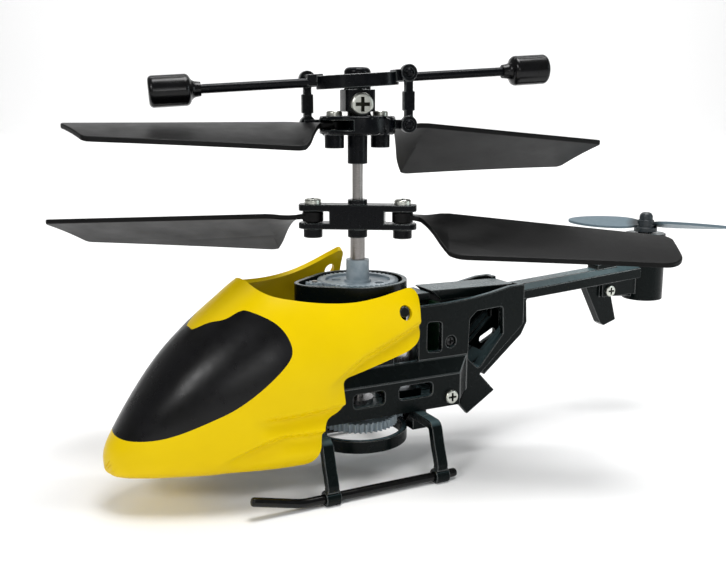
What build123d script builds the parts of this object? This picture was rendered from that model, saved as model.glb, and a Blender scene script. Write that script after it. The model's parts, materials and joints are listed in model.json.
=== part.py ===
from build123d import *
import os
from math import atan2, cos, degrees, hypot, pi, radians, sin, tan

# Palm-size coaxial helicopter.  Millimetres, +X towards the nose, +Y to port, +Z up.
# Everything below is laid out with the rotor shaft on x = y = 0 and the skids standing on z = 0.
# place() then slides each part along X, so that the origin is midway between nose and tail.

SHAFT_X = 11.9

# Rotor shafts and bearings
INNER_SHAFT_R = 0.75
TUBE_BORE_R = 0.79
TUBE_R = 1.05
INNER_SHAFT_BOTTOM = 4.9
INNER_SHAFT_TOP = 51.9
TUBE_BOTTOM = 22.4
TUBE_TOP = 39.0
RUNNING_FIT = 0.04

# Gears: involute teeth, five turns of a pinion to one turn of a main gear
GEAR_MODULE = 0.25
MAIN_TEETH = 45
PINION_TEETH = 9
PRESSURE_ANGLE = 22.0
BACKLASH = 0.07
MOTOR_X = GEAR_MODULE * (MAIN_TEETH + PINION_TEETH) / 2
UPPER_GEAR_Z = (26.5, 27.9)
LOWER_GEAR_Z = (6.5, 7.8)

# Motors
MOTOR_R = 3.0
MOTOR_SHAFT_R = 0.4
FRONT_MOTOR_Z = (11.5, 23.4)
REAR_MOTOR_Z = (11.0, 22.6)

# Side frames
FLOOR_Z = (8.7, 9.6)
WALL = 0.9
LOWER_WALL_Y = 6.1
UPPER_WALL_Y = 5.0
SHELF_Z = (13.6, 15.9)
PEG_X, PEG_Z = -2.4, 24.7
FRAME_FRONT_X = 10.8

# Top deck with the ring round the upper gear
DECK_Z = (24.3, 25.3)
RING_TOP_Z = 28.0
RING_R = 7.1
RING_WALL = 0.65
RING_BULGE_R = 2.9
DECK_SCREW_X, DECK_SCREW_Y = -4.2, 2.6

# Canopy: one row per station, nose last: x, crest z, keel z, height of the widest point,
# half width, squareness of the lower half.
CANOPY_STATIONS = (
    (-6.0, 30.5, 4.4, 16.0, 11.6, 6.0),
    (0.0, 31.6, 4.4, 16.0, 11.7, 6.0),
    (6.0, 31.9, 4.4, 16.0, 11.7, 6.0),
    (12.0, 31.2, 4.4, 15.2, 11.4, 6.0),
    (16.5, 29.8, 4.4, 14.4, 11.0, 5.5),
    (20.5, 27.0, 4.4, 13.2, 10.3, 4.6),
    (25.0, 23.5, 4.3, 11.8, 9.1, 3.7),
    (29.0, 19.6, 4.3, 10.3, 7.6, 3.1),
    (33.0, 14.4, 4.4, 8.6, 5.4, 2.7),
    (35.6, 10.4, 4.7, 7.4, 3.4, 2.4),
    (37.0, 7.8, 5.2, 6.6, 1.7, 2.2),
)
CANOPY_TOP_SQUARENESS = 2.25
CANOPY_WALL = 0.75

# The starboard ear of the canopy is sprung off its peg: behind EAR_ROOT_X that cheek is bent up and forward.
EAR_ROOT_X = 16.5
EAR_LIFT = 3.3
EAR_LEAN = 0.16
EAR_LEAN_Z = 8.0
EAR_HOLE_R = 1.0

# Landing gear
SKID_Y = 11.8
SKID_Z = 0.95
SKID_R = 0.62
SLEEVE_R = 1.08
FRONT_LEG_X, REAR_LEG_X = 9.7, -7.2
LEG_WIDTH = 1.7
LEG_THICKNESS = 1.2

# Tail
TAIL_X = -54.5
BOOM_START_X, BOOM_END_X = -23.6, -52.4
TAIL_CUP_R = 3.35
TAIL_MOTOR_R = 3.0
TAIL_CUP_Z = (20.0, 31.2)
TAIL_ROTOR_R = 13.0
TAIL_ROTOR_AZIMUTH = -49.0
TAIL_SCREW = (-45.9, 22.2)

# Lower rotor
LOWER_AZIMUTH = -31.7
LOWER_HUB_Z = (35.2, 38.7)
LOWER_TAB_Z = 36.9
LOWER_BOLT_R = 6.4
LOWER_HUB_HALF = 8.4

# Upper rotor, see-saw and flybar
UPPER_AZIMUTH = -6.6
HEAD_AZIMUTH = -12.0
SEE_SAW_PIVOT_Z = 49.3
SEE_SAW_Z = (48.5, 51.0)
UPPER_TAB_Z = 49.8
UPPER_BOLT_R = 3.4
UPPER_SWEEP = 2.3
FLYBAR_PIVOT_Z = 55.9
LINK_REACH = 6.5
LINK_RISE = 0.55
LINK_Y = 3.0
BALL_R = 0.75
FLYBAR_WEIGHT_R = 24.9
FLYBAR_TILT = 3.5          # the bar comes to rest with its forward end this many degrees low


def rod(radius, low, high, x=0.0, y=0.0):
    """An upright cylinder between two heights."""
    return Pos(x, y, low) * Cylinder(radius, high - low, align=(Align.CENTER, Align.CENTER, Align.MIN))


def tube(bore, radius, low, high, x=0.0, y=0.0):
    return rod(radius, low, high, x, y) - rod(bore, low - 1, high + 1, x, y)


def block(x_range, y_range, z_range):
    size = [high - low for low, high in (x_range, y_range, z_range)]
    middle = [(high + low) / 2 for low, high in (x_range, y_range, z_range)]
    return Pos(*middle) * Box(*size)


def cross_rod(radius, y_low, y_high, x, z):
    """A rod that lies along Y."""
    return Pos(x, (y_low + y_high) / 2, z) * Rot(90, 0, 0) * Cylinder(radius, y_high - y_low)


def polygon(points, corner=0.0):
    face = make_face(Polyline(*points, close=True))
    return fillet(face.vertices(), corner) if corner else face


def side_slab(points, y_low, y_high, corner=0.0):
    """An outline in x and z, given thickness from y_low to y_high."""
    plane = Plane(origin=(0, y_high, 0), x_dir=(1, 0, 0), z_dir=(0, -1, 0))
    return extrude(plane * polygon(points, corner), amount=y_high - y_low)


def plan_slab(points, z_low, z_high, corner=0.0):
    """An outline in x and y, given thickness from z_low to z_high."""
    return extrude(Pos(0, 0, z_low) * polygon(points, corner), amount=z_high - z_low)


def turned(shape, angle):
    return Rot(0, 0, angle) * shape


def both_ends(shape):
    """The shape and its half-turn copy round the rotor axis."""
    return [shape, turned(shape, 180)]


def mirrored(shape):
    return mirror(shape, about=Plane.XZ)


def cross_screw(head_r, head_height, shank_r, shank_length, slot=0.5):
    """A pan-head screw, head up along +Z, with a crossed recess; its seat is at z = 0."""
    head = rod(head_r, 0, head_height)
    head = fillet(head.edges().filter_by(GeomType.CIRCLE).sort_by(Axis.Z)[-1], head_height * 0.45)
    depth = 0.7 * head_height
    recess = Box(head_r * 1.25, slot, 2 * depth) + Box(slot, head_r * 1.25, 2 * depth)
    return head - Pos(0, 0, head_height) * recess + rod(shank_r, -shank_length, 0)


# ---------------------------------------------------------------------------------------------
# Gears
# ---------------------------------------------------------------------------------------------

def gear_outline(teeth, tip_r, root_r, turn):
    """Closed list of points for a spur gear whose first tooth is centred on the angle turn."""
    pitch_r = GEAR_MODULE * teeth / 2
    base_r = pitch_r * cos(radians(PRESSURE_ANGLE))

    def flank_angle(radius):
        """Half the angle that a tooth spans at this radius."""
        involute_at_pitch = tan(radians(PRESSURE_ANGLE)) - radians(PRESSURE_ANGLE)
        half_at_pitch = (pi * GEAR_MODULE / 2 - BACKLASH) / (2 * pitch_r)
        if radius <= base_r:
            return half_at_pitch + involute_at_pitch
        alpha = atan2((radius**2 - base_r**2) ** 0.5, base_r)
        return half_at_pitch + involute_at_pitch - (tan(alpha) - alpha)

    steps = 4
    low_r = max(root_r, base_r)
    radii = [low_r + (tip_r - low_r) * i / steps for i in range(steps + 1)]
    if root_r < base_r:
        radii.insert(0, root_r)
    points = []
    for tooth in range(teeth):
        middle = turn + 2 * pi * tooth / teeth
        for radius in radii:
            angle = middle - flank_angle(radius)
            points.append((radius * cos(angle), radius * sin(angle)))
        for radius in reversed(radii):
            angle = middle + flank_angle(radius)
            points.append((radius * cos(angle), radius * sin(angle)))
    return points


def spur_gear(teeth, z_range, tooth_angle):
    pitch_r = GEAR_MODULE * teeth / 2
    tip_r = pitch_r + 0.85 * GEAR_MODULE
    root_r = pitch_r - 1.15 * GEAR_MODULE
    return plan_slab(gear_outline(teeth, tip_r, root_r, radians(tooth_angle)), *z_range)


def upper_main_gear():
    gear = spur_gear(MAIN_TEETH, UPPER_GEAR_Z, 0.0)
    dish = tube(1.9, 4.7, UPPER_GEAR_Z[1] - 0.35, UPPER_GEAR_Z[1] + 1)
    boss = rod(1.65, 25.95, UPPER_GEAR_Z[0]) + rod(1.65, UPPER_GEAR_Z[1] - 0.35, 30.8)
    holes = [turned(rod(0.7, 26, 29, 3.3), 90 * i + 45) for i in range(4)]
    return gear - dish + boss - holes - rod(TUBE_R, 20, 35)


def lower_main_gear():
    gear = spur_gear(MAIN_TEETH, LOWER_GEAR_Z, 180.0)
    boss = rod(1.7, 5.3, 8.2)
    holes = [turned(rod(0.9, 5, 9, 3.5), 90 * i) for i in range(4)]
    return gear - holes + boss - rod(INNER_SHAFT_R, 4, 10)


def pinion(x, z_range, tooth_angle):
    return Pos(x, 0, 0) * (spur_gear(PINION_TEETH, z_range, tooth_angle) - rod(MOTOR_SHAFT_R, 0, 40))


# ---------------------------------------------------------------------------------------------
# Rotor blades
# ---------------------------------------------------------------------------------------------

def blade(bolt_r, tip_r, pitch, lead_z, tab, sweep, root_corner=2.6):
    """One rotor blade along +X with its leading edge at +Y, level tab at z = 0.

    pitch and lead_z are (root, tip) pairs; tab is (radius, thickness); a tip without sweep is square.
    """
    tab_r, tab_thickness = tab
    neck = 1.05
    root_u = bolt_r + 5.2
    lead = 2.0
    root_width = 11.0
    tip_width = 8.0 if sweep else 9.2
    outline = [
        (bolt_r, neck),
        (bolt_r + 3.2, neck),
        (root_u, lead),
        (tip_r, lead - 0.4),
        (tip_r - sweep, lead - 0.4 - tip_width),
        (root_u + 1.0, lead - root_width),
        (bolt_r + 3.6, -3.6),
        (bolt_r + 2.4, -neck),
        (bolt_r, -neck),
    ]
    lead_corner, trail_corner = (0.5, 1.2) if sweep else (1.6, 2.8)
    radii = (0.0, 1.0, 1.5, lead_corner, trail_corner, root_corner, 1.0, 0.8, 0.0)
    face = make_face(Polyline(*outline, close=True))
    for (u, v), radius in zip(outline, radii):
        if radius:
            corner = face.vertices().sort_by(lambda p: hypot(p.X - u, p.Y - v))[0]
            face = fillet(corner, radius)
    sections = []
    for u, share in ((bolt_r - 1, 0), (bolt_r + 1.4, 0), (root_u + 1.4, 1), (tip_r + 1, 2)):
        if share == 0:
            angle, rise = 0.0, 0.0
        else:
            angle, rise = pitch[share - 1], lead_z[share - 1]
        sections.append(blade_section(u, angle, rise, lead))
    ribbon = loft(sections, ruled=True)
    prism = extrude(Pos(0, 0, -12) * face, amount=24)
    disc = rod(tab_r, -tab_thickness / 2, tab_thickness / 2, bolt_r)
    plate = ribbon & prism
    return plate + disc - rod(0.46, -3, 3, bolt_r)


def blade_section(u, angle, rise, lead):
    """A thin cambered strip across the blade at span u."""
    slope = tan(radians(angle))
    thickness = 0.7
    camber = 0.45 if angle else 0.0
    front, back = lead + 1.0, lead - 13.0

    def height(v):
        return rise + (v - lead) * slope

    middle = (front + back) / 2
    top = ThreePointArc(
        (u, front, height(front) + thickness / 2),
        (u, middle, height(middle) + thickness / 2 + camber + 0.001),
        (u, back, height(back) + thickness / 2),
    )
    bottom = ThreePointArc(
        (u, back, height(back) - thickness / 2),
        (u, middle, height(middle) - thickness / 2 + camber - 0.001),
        (u, front, height(front) - thickness / 2),
    )
    ends = [Line(top @ 1, bottom @ 0), Line(bottom @ 1, top @ 0)]
    return make_face([top, bottom] + ends)


def lower_blade(azimuth, tip_r, pitch, lead_z, sweep, root_corner):
    shape = blade(LOWER_BOLT_R, tip_r, pitch, lead_z, (1.5, 1.5), sweep, root_corner)
    return turned(Pos(0, 0, LOWER_TAB_Z) * shape, azimuth)


def upper_blade(azimuth, tip_r, pitch, lead_z):
    """The upper rotor turns the other way, so its blades are mirror images."""
    shape = mirrored(blade(UPPER_BOLT_R, tip_r, pitch, lead_z, (1.1, 1.1), UPPER_SWEEP))
    return turned(Pos(0, 0, UPPER_TAB_Z) * shape, azimuth)


# ---------------------------------------------------------------------------------------------
# Lower rotor
# ---------------------------------------------------------------------------------------------

def lower_blade_hub():
    low, high = LOWER_HUB_Z
    bar = block((-LOWER_HUB_HALF, LOWER_HUB_HALF), (-1.55, 1.55), (low, high))
    bar = fillet(bar.edges().filter_by(Axis.Z), 1.2)
    for side in (-1, 1):
        inner, outer = sorted((side * 3.9, side * 10))
        bar -= block((inner, outer), (-3, 3), (LOWER_TAB_Z - 0.85, LOWER_TAB_Z + 0.85))
        bar += rod(1.35, low - 1.3, low, side * LOWER_BOLT_R)
        bar -= rod(0.46, low - 2, high + 1, side * LOWER_BOLT_R)
    hub = bar + rod(1.4, 34.0, 39.4)
    hub -= rod(TUBE_R, 33, TUBE_TOP)
    hub -= rod(INNER_SHAFT_R + RUNNING_FIT, 38, 41)
    return turned(hub, LOWER_AZIMUTH)


def lower_blade_screws():
    screw = Pos(LOWER_BOLT_R, 0, LOWER_HUB_Z[1]) * cross_screw(1.2, 0.75, 0.45, 4.6, 0.35)
    return [turned(s, LOWER_AZIMUTH) for s in both_ends(screw)]


# ---------------------------------------------------------------------------------------------
# Upper rotor.  In these functions x runs along the flybar and y along the pivots.
# ---------------------------------------------------------------------------------------------

def rotor_head():
    barrel = rod(1.4, 44.4, 51.6)
    column = block((-2.1, 2.1), (-2.1, 2.1), (51.6, 54.6))
    column = fillet(column.edges().filter_by(Axis.Z), 0.5)
    post = rod(1.85, 54.6, 57.6)
    post = fillet(post.edges().filter_by(GeomType.CIRCLE).sort_by(Axis.Z)[-1], 0.7)
    head = barrel + column + post - rod(INNER_SHAFT_R, 40, INNER_SHAFT_TOP)
    for side in (-1, 1):
        head -= cross_rod(0.5, *sorted((side * 0.95, side * 3)), 0, SEE_SAW_PIVOT_Z)
        head -= cross_rod(0.55, *sorted((side * 1.0, side * 3)), 0, FLYBAR_PIVOT_Z)
    head -= cross_rod(0.5, -1.2, 3, 0, 52.6)
    return turned(head, HEAD_AZIMUTH)


def head_screw():
    screw = cross_screw(1.6, 0.9, 0.5, 3.3, 0.5)
    return turned(Pos(0, 2.1, 52.6) * Rot(-90, 0, 0) * screw, HEAD_AZIMUTH)


def ball_stud(root_y, pivot_z):
    """A short pin along Y that ends in the ball which a link clips on."""
    x, z = -LINK_REACH, pivot_z + LINK_RISE
    return cross_rod(0.42, root_y, LINK_Y, x, z) + Pos(x, LINK_Y, z) * Sphere(BALL_R)


def blade_see_saw():
    low, high = SEE_SAW_Z
    disc = rod(5.3, low, high)
    disc = fillet(disc.edges().filter_by(GeomType.CIRCLE), 0.35)
    line = UPPER_AZIMUTH - HEAD_AZIMUTH
    boss = rod(1.35, 46.6, low, UPPER_BOLT_R)
    for piece in both_ends(boss):
        disc += turned(piece, line)
    arm = block((-7.2, -4.4), (1.75, 2.35), (SEE_SAW_PIVOT_Z - 0.1, SEE_SAW_PIVOT_Z + 1.2))
    arm = arm + ball_stud(2.0, SEE_SAW_PIVOT_Z)
    for piece in both_ends(arm):
        disc += piece
    slot = block((2.2, 9), (-1.7, 5.5), (UPPER_TAB_Z - 0.65, UPPER_TAB_Z + 0.65))
    hole = rod(0.46, 45, 53, UPPER_BOLT_R)
    for piece in both_ends(slot) + both_ends(hole):
        disc -= turned(piece, line)
    disc -= rod(1.95, 44, 53)
    for side in (-1, 1):
        disc += cross_rod(0.44, *sorted((side * 1.05, side * 2.2)), 0, SEE_SAW_PIVOT_Z)
    return turned(disc, HEAD_AZIMUTH)


def upper_blade_screws():
    screw = Pos(UPPER_BOLT_R, 0, SEE_SAW_Z[1]) * cross_screw(1.1, 0.7, 0.45, 4.1, 0.35)
    return [turned(s, UPPER_AZIMUTH) for s in both_ends(screw)]


def racetrack(half_length, half_width, z_low, z_high):
    return extrude(Pos(0, 0, z_low) * SlotOverall(2 * half_length, 2 * half_width), amount=z_high - z_low)


def rested(shape):
    """Tips a level flybar part about the flybar's pin to where it comes to rest, and turns it with the head."""
    pin = Pos(0, 0, FLYBAR_PIVOT_Z)
    return turned(pin * Rot(0, FLYBAR_TILT, 0) * pin.inverse() * shape, HEAD_AZIMUTH)


def flybar():
    low, high = 54.9, 56.7
    cradle = racetrack(5.8, 3.4, low, high) - racetrack(4.7, 2.5, low - 1, high + 1)
    arm = block((-7.1, -4.9), (-0.6, 2.4), (FLYBAR_PIVOT_Z - 0.5, FLYBAR_PIVOT_Z + 1.1))
    for piece in both_ends(arm + ball_stud(2.0, FLYBAR_PIVOT_Z)):
        cradle += piece
    bar = Pos(0, 0, FLYBAR_PIVOT_Z) * Rot(0, 90, 0) * Cylinder(0.62, 2 * (FLYBAR_WEIGHT_R + 2.4))
    cradle += bar - rod(5.2, 50, 60)
    for side in (-1, 1):
        cradle += cross_rod(0.5, *sorted((side * 1.1, side * 2.7)), 0, FLYBAR_PIVOT_Z)
    return rested(cradle)


def flybar_weights():
    """Two turned weights pressed on the ends of the bar."""
    r = FLYBAR_WEIGHT_R
    outline = [(r - 3.4, 0.62), (r - 3.4, 0.95), (r - 2.3, 1.1), (r - 1.8, 2.1), (r + 3.4, 2.1), (r + 3.4, 0),
               (r + 2.4, 0), (r + 2.4, 0.62)]
    face = make_face(Polyline(*outline, close=True))
    for (x, radius), rounding in zip(outline[2:5], (0.9, 0.7, 0.6)):
        corner = face.vertices().sort_by(lambda p: hypot(p.X - x, p.Y - radius))[0]
        face = fillet(corner, rounding)
    weight = Pos(0, 0, FLYBAR_PIVOT_Z) * revolve(face, Axis.X)
    return [rested(w) for w in both_ends(weight)]


def link(turn, tilt):
    """Ball link that stands on the see-saw's ball and reaches the flybar's; turn is 180 for the far end's."""
    top_x = LINK_RISE * sin(radians(tilt)) - LINK_REACH * cos(radians(tilt))
    top_z = FLYBAR_PIVOT_Z + LINK_RISE * cos(radians(tilt)) + LINK_REACH * sin(radians(tilt))
    foot_x, foot_z = -LINK_REACH, SEE_SAW_PIVOT_Z + LINK_RISE
    length = hypot(top_x - foot_x, top_z - foot_z)
    across = (LINK_Y - 0.45, LINK_Y + 0.45)
    bar = block((-0.55, 0.55), across, (0.9, length - 0.9))
    bar += block((-0.8, 0.8), across, (length / 2 - 1.6, length / 2 + 1.0))
    for z in (0, length):
        bar += cross_rod(1.15, LINK_Y - 0.5, LINK_Y + 0.5, 0, z)
    for z in (0, length):
        bar -= Pos(0, LINK_Y, z) * Sphere(BALL_R + 0.05)
        bar -= cross_rod(0.5, 1, LINK_Y, 0, z)
    lean = degrees(atan2(top_x - foot_x, top_z - foot_z))
    return turned(Pos(foot_x, 0, foot_z) * Rot(0, lean, 0) * bar, HEAD_AZIMUTH + turn)


# ---------------------------------------------------------------------------------------------
# Airframe
# ---------------------------------------------------------------------------------------------

def wall_envelope():
    """Volume inside the outer faces of both side walls."""
    profile = [(LOWER_WALL_Y, FLOOR_Z[0]), (LOWER_WALL_Y, SHELF_Z[0]), (UPPER_WALL_Y, SHELF_Z[1]), (UPPER_WALL_Y, 26)]
    points = profile + [(-y, z) for y, z in reversed(profile)]
    face = make_face(Polyline(*[(-30, y, z) for y, z in points], close=True))
    return extrude(face, amount=45, dir=(1, 0, 0))


def side_frame(rear_opening):
    """Port side frame: floor, stepped wall, canopy peg, deck posts, socket housing and battery tray."""
    envelope = wall_envelope()
    z_floor, z_upper = FLOOR_Z[0], SHELF_Z[1]
    wall_y = (UPPER_WALL_Y - WALL, UPPER_WALL_Y)
    core = side_slab([(FRAME_FRONT_X, 9.6), (-13.2, 9.6), (-17.5, 13.4), (-25.1, 20.0), (-25.1, 26), (20, 26)],
                     -UPPER_WALL_Y + WALL, UPPER_WALL_Y - WALL)
    belly = block((-13.2, 20), (-LOWER_WALL_Y + WALL, LOWER_WALL_Y - WALL), (9.6, SHELF_Z[0]))
    outline = [(FRAME_FRONT_X, z_floor), (-14.1, z_floor), (-14.1, 9.4), (-18.2, 12.5), (-26.0, 19.6),
               (-26.0, 25.7), (-23.4, 25.6), (-19.8, 24.9), (-16.4, 24.4), (-12.4, 24.1), (-7.4, 24.0),
               (-7.4, z_upper), (FRAME_FRONT_X, z_upper)]
    shape = side_slab(outline, 0, 12) & envelope
    behind_shelf = [(-30, UPPER_WALL_Y), (-15.7, UPPER_WALL_Y), (-14.0, LOWER_WALL_Y), (-14.0, 9), (-30, 9)]
    shape -= plan_slab(behind_shelf, 6, z_upper)
    shape = shape - core - belly
    shape -= side_slab([(3.6, 10.6), (3.6, 12.6), (-1.3, 12.6), (-1.3, 10.6)], 3, 8, 0.6)
    shape -= side_slab([(-3.7, 10.8), (-3.7, 12.8), (-9.2, 12.8), (-9.2, 10.8)], 3, 8, 0.6)
    shape -= side_slab([(-8.9, 21.5), (-11.3, 21.3), (-11.3, 16.9), (-8.9, 17.1)], 3, 8, 0.5)
    shape -= rear_opening
    shape -= block((-30, -20.0), (-1, 2.65), (10, 27))
    shape += block((FRAME_FRONT_X, 27.5), (0, 4.9), FLOOR_Z)
    shape += block((FRAME_FRONT_X, 27.5), (4.3, 4.9), (9.6, 11.4))
    shape += block((FRAME_FRONT_X - 0.9, FRAME_FRONT_X), (0, UPPER_WALL_Y), (9.6, DECK_Z[0]))
    front_wall = block((-3.4, FRAME_FRONT_X), wall_y, (z_upper, DECK_Z[0]))
    front_wall -= side_slab([(0.2, 17.2), (8.6, 17.2), (8.6, 22.2), (0.2, 22.2)], 3, 8, 0.8)
    shape += front_wall
    shape += block((-3.4, -1.4), (wall_y[0], 8.5), (22.4, DECK_Z[0]))
    shape += block((-3.4, -1.4), (7.85, 8.5), (22.4, PEG_Z + 0.8))
    shape += cross_rod(0.8, 8.4, 9.7, PEG_X, PEG_Z)
    housing = side_slab([(-14.1, 9.4), (-18.2, 12.5), (-20.9, 9.6), (-16.0, 6.5), (-14.1, 8.7)], 0, UPPER_WALL_Y)
    shape += housing
    shape -= block((-19.0, -14.9), (-1, 4.3), (6, 10.9))
    for x in (MOTOR_X, -MOTOR_X):
        shape += block((x - 2.6, x + 2.6), (0, 2.6), (9.6, 11.0)) - rod(1.7, 9, 12, x)
    shape -= rod(1.75, 7, 12)
    shape -= rod(1.7, 7, 12, -MOTOR_X)
    shape -= cross_rod(0.5, 4, 8, -12.3, 10.2)
    shape += cross_rod(1.2, 3.2, 4.6, -12.9, 18.2)
    shape -= cross_rod(0.85, 4.2, 8, -12.9, 18.2)
    shape -= cross_rod(0.46, 2, 8, -12.9, 18.2)
    return shape


def frame_port():
    pocket = [(-16.0, 15.2), (-16.2, 21.2), (-17.4, 22.3), (-22.0, 22.6), (-22.2, 18.4), (-17.9, 13.4)]
    return side_frame(side_slab(pocket, 3, 8, 0.5))


def frame_starboard():
    slot = Pos(-19.1, 4.5, 18.8) * Rot(0, 30, 0) * Box(2.8, 3, 1.2)
    return mirrored(side_frame(slot))


def top_deck():
    """Deck plate with the ring that guards the upper gear and the front pinion."""
    def oval(grow, z_low, z_high):
        big = Circle(RING_R - RING_WALL + grow)
        small = Pos(MOTOR_X, 0) * Circle(RING_BULGE_R - RING_WALL + grow)
        face = make_hull(big.edges() + small.edges())
        return extrude(Pos(0, 0, z_low) * face, amount=z_high - z_low)

    shape = oval(RING_WALL, DECK_Z[0], RING_TOP_Z) - oval(0, DECK_Z[1], RING_TOP_Z + 1)
    shape += tube(2.0, 2.9, FRONT_MOTOR_Z[1], DECK_Z[0], MOTOR_X)
    shape += tube(2.0, 2.9, REAR_MOTOR_Z[1], DECK_Z[0], -MOTOR_X) & block((-9.6, 0), (-4, 4), (20, 26))
    shape += block((-10.7, -6.2), (-2.4, 2.4), DECK_Z)
    shape -= rod(2.0, 20, 30)
    shape -= rod(0.9, 20, 30, MOTOR_X)
    for y in (-DECK_SCREW_Y, DECK_SCREW_Y):
        shape -= rod(0.4, 20, 30, DECK_SCREW_X, y)
    return shape


def tail_boom():
    """Channel beam with a crowned top, its fairing over the frame and the block it is rooted in."""
    def section(x, half, crest, depth):
        edge, skin = crest - 0.8, 0.65
        points = [(-half, edge), (-half * 0.5, crest), (half * 0.5, crest), (half, edge), (half, crest - depth),
                  (half - skin, crest - depth), (half - skin, edge - skin), (skin - half, edge - skin),
                  (skin - half, crest - depth), (-half, crest - depth)]
        return make_face(Polyline(*[(x, y, z) for y, z in points], close=True))

    beam = loft([section(BOOM_START_X, 2.6, 24.6, 2.2), section(BOOM_END_X, 2.2, 26.5, 2.5)], ruled=True)
    fairing = side_slab([(-12.7, 24.0), (-10.9, 25.6), (-25.6, 25.4), (-27.0, 24.4), (-25.2, 23.9)], -2.55, 2.55)
    fairing -= block((-24.6, -12.0), (-1.9, 1.9), (23.5, 24.9))
    root = side_slab([(-24.5, 24.3), (-28.2, 22.7), (-28.4, 19.0), (-27.4, 17.1), (-20.6, 11.4), (-20.05, 12.6),
                      (-20.05, 15.2), (-24.5, 19.4)], -2.6, 2.6)
    clip = block((-47.4, -43.4), (-1.3, 1.3), (25.6, 26.7))
    clip = fillet(clip.edges().filter_by(Axis.Y).group_by(Axis.Z)[-1], 0.4)
    root -= block((-29, -24), (-0.9, 0.9), (22.3, 23.5))
    root -= side_slab([(-19.0, 11.4), (-26.1, 17.3), (-26.1, 20.8), (-19.0, 20.8)], -1.7, 1.7)
    root -= side_slab([(-22.5, 15.0), (-25.4, 16.5), (-25.4, 17.7), (-22.5, 16.2)], -3, -1.5, 0.4)
    lug = block((-47.1, -44.6), (-0.45, 0.45), (21.6, 24.9)) - cross_rod(0.35, -3, 3, *TAIL_SCREW)
    return beam + fairing + root + clip + lug - rod(TAIL_CUP_R, *TAIL_CUP_Z, TAIL_X)


def tail_motor_holder():
    """Cup for the tail motor, with the fin under an arm that is screwed to the boom's lug."""
    low, high = TAIL_CUP_Z
    cup = rod(TAIL_CUP_R, low, high, TAIL_X) - rod(TAIL_MOTOR_R, low + 0.8, high - 0.7, TAIL_X)
    cup -= rod(1.2, high - 1, high + 1, TAIL_X)
    fin = side_slab([(-41.4, 23.1), (-44.9, 16.6), (-45.7, 16.1), (-48.2, 16.9), (-47.0, 21.0), (-52.5, 20.6),
                     (-52.5, 23.2)], -0.8, 0.8)
    fin = fillet(fin.edges().filter_by(Axis.Y).group_by(Axis.Z)[0], 0.3)
    arm = block((-52.5, -44.4), (-1.5, 1.5), (21.2, 24.2))
    shape = cup + (fin + arm - rod(TAIL_CUP_R - 0.2, low - 1, high + 1, TAIL_X))
    shape -= block((-47.2, -44.5), (-0.5, 0.5), (21.5, 25))
    return shape - cross_rod(0.35, -2, 2, *TAIL_SCREW)


def tail_motor():
    low = TAIL_CUP_Z[0] + 0.8
    return rod(TAIL_MOTOR_R, low, 29.6, TAIL_X) + rod(1.1, 29.6, 30.6, TAIL_X) - rod(0.45, 28, 32, TAIL_X)


def tail_motor_shaft():
    return rod(0.4, 28.2, 33.3, TAIL_X)


def tail_rotor():
    """Two-blade airscrew on a stepped hub under a dome nut."""
    hub = rod(1.9, 31.45, 32.2) + rod(1.35, 32.2, 33.4)
    dome = rod(1.1, 33.4, 34.7)
    dome = fillet(dome.edges().filter_by(GeomType.CIRCLE).sort_by(Axis.Z)[-1], 0.8)
    middle = (TAIL_ROTOR_R + 0.8) / 2
    plan = extrude(Pos(middle, 0, 30) * Ellipse(TAIL_ROTOR_R - middle, 2.2), amount=6)
    plan += block((0.6, 3.6), (-0.9, 0.9), (30, 36))
    strips = []
    for u, angle in ((0.6, 20.0), (6.0, 15.0), (TAIL_ROTOR_R + 0.5, 11.0)):
        rise, thickness = -3.2 * tan(radians(angle)), 0.45
        corners = [(u, -3.2, -rise), (u, 3.2, rise), (u, 3.2, rise + thickness), (u, -3.2, thickness - rise)]
        strips.append(make_face(Polyline(*corners, close=True)))
    wing = (Pos(0, 0, 32.5) * loft(strips, ruled=True)) & plan
    shape = hub + dome
    for piece in both_ends(wing):
        shape += piece
    shape -= rod(0.4, 30, 33.3)
    return Pos(TAIL_X, 0, 0) * turned(shape, TAIL_ROTOR_AZIMUTH)


def ear_bend(x):
    """Share of the ear's full lift that the starboard cheek has at x."""
    return max(0.0, (EAR_ROOT_X - x) / (EAR_ROOT_X - PEG_X)) ** 1.5


def bent(points):
    """A starboard outline in x and z, carried along by the bent cheek."""
    return [(x + EAR_LEAN * ear_bend(x) * (z - EAR_LEAN_Z), z + EAR_LIFT * ear_bend(x)) for x, z in points]


def canopy_body(inset, lift=0.0):
    """Closed canopy form; inset shrinks every station by the wall thickness, lift raises the rear ones."""
    rings = []
    count = 28
    for x, crest, keel, belt, half, low_power in CANOPY_STATIONS:
        points = []
        rise = lift * ear_bend(x)
        for i in range(count):
            angle = 2 * pi * i / count
            power = 2 / (CANOPY_TOP_SQUARENESS if sin(angle) >= 0 else low_power)
            y = abs(cos(angle)) ** power * (half - inset) * (1 if cos(angle) >= 0 else -1)
            reach = crest - belt - inset if sin(angle) >= 0 else keel - belt + inset
            points.append((x, y, belt + rise + reach * abs(sin(angle)) ** power))
        rings.append(make_face(Spline(*points, periodic=True)))
    return loft(rings)


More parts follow.
